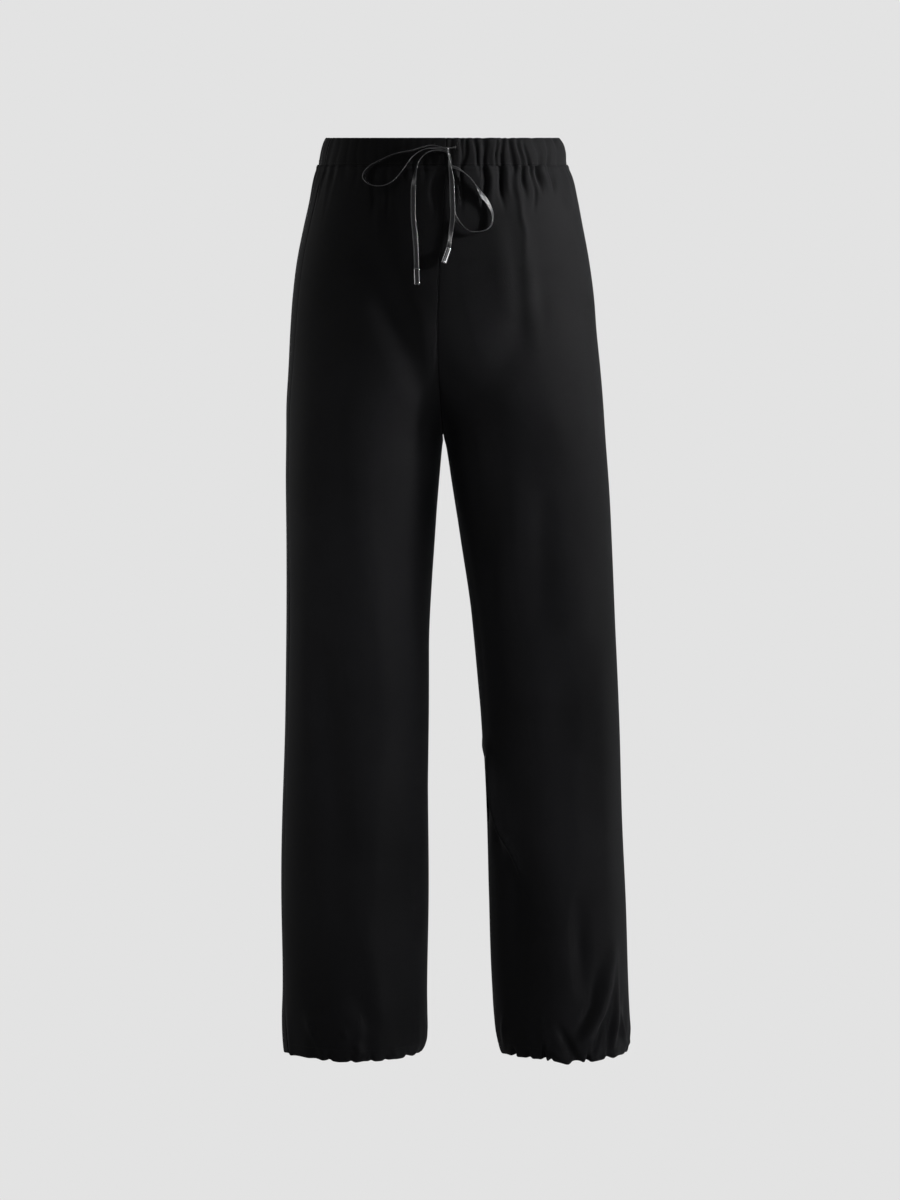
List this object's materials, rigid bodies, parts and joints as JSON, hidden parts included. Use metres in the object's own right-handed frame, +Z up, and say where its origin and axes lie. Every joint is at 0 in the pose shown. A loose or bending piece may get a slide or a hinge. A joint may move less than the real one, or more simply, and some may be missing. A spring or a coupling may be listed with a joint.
{
  "type": "drawstring trousers",
  "caption": "Long straight-legged black trousers with a gathered elastic waistband, gathered hems and a flat drawstring tied in a bow with metal tips, in their worn form.",
  "frame": {"origin": "middle of the waist, half way up the waistband at the side, where the wearer holds the trousers up", "axes": "+Z up along the legs towards the waist, +X towards the wearer's left, -Y towards the front with the drawstring"},
  "size_m": [0.4021, 0.2506, 1.0558],
  "materials": {
    "cloth": "black woven cloth, fine matt crepe with a faint sheen",
    "cord": "black flat braid with a satin shine",
    "tip": "polished silver metal"
  },
  "bodies": {
    "root": {"front_right": "cloth", "front_left": "cloth", "back_right": "cloth", "back_left": "cloth", "waistband_front_right": "cloth", "waistband_front_left": "cloth", "waistband_back": "cloth", "drawstring_right": "cord", "drawstring_left": "cord", "tip_right": "tip", "tip_left": "tip"}
  },
  "joints": []
}
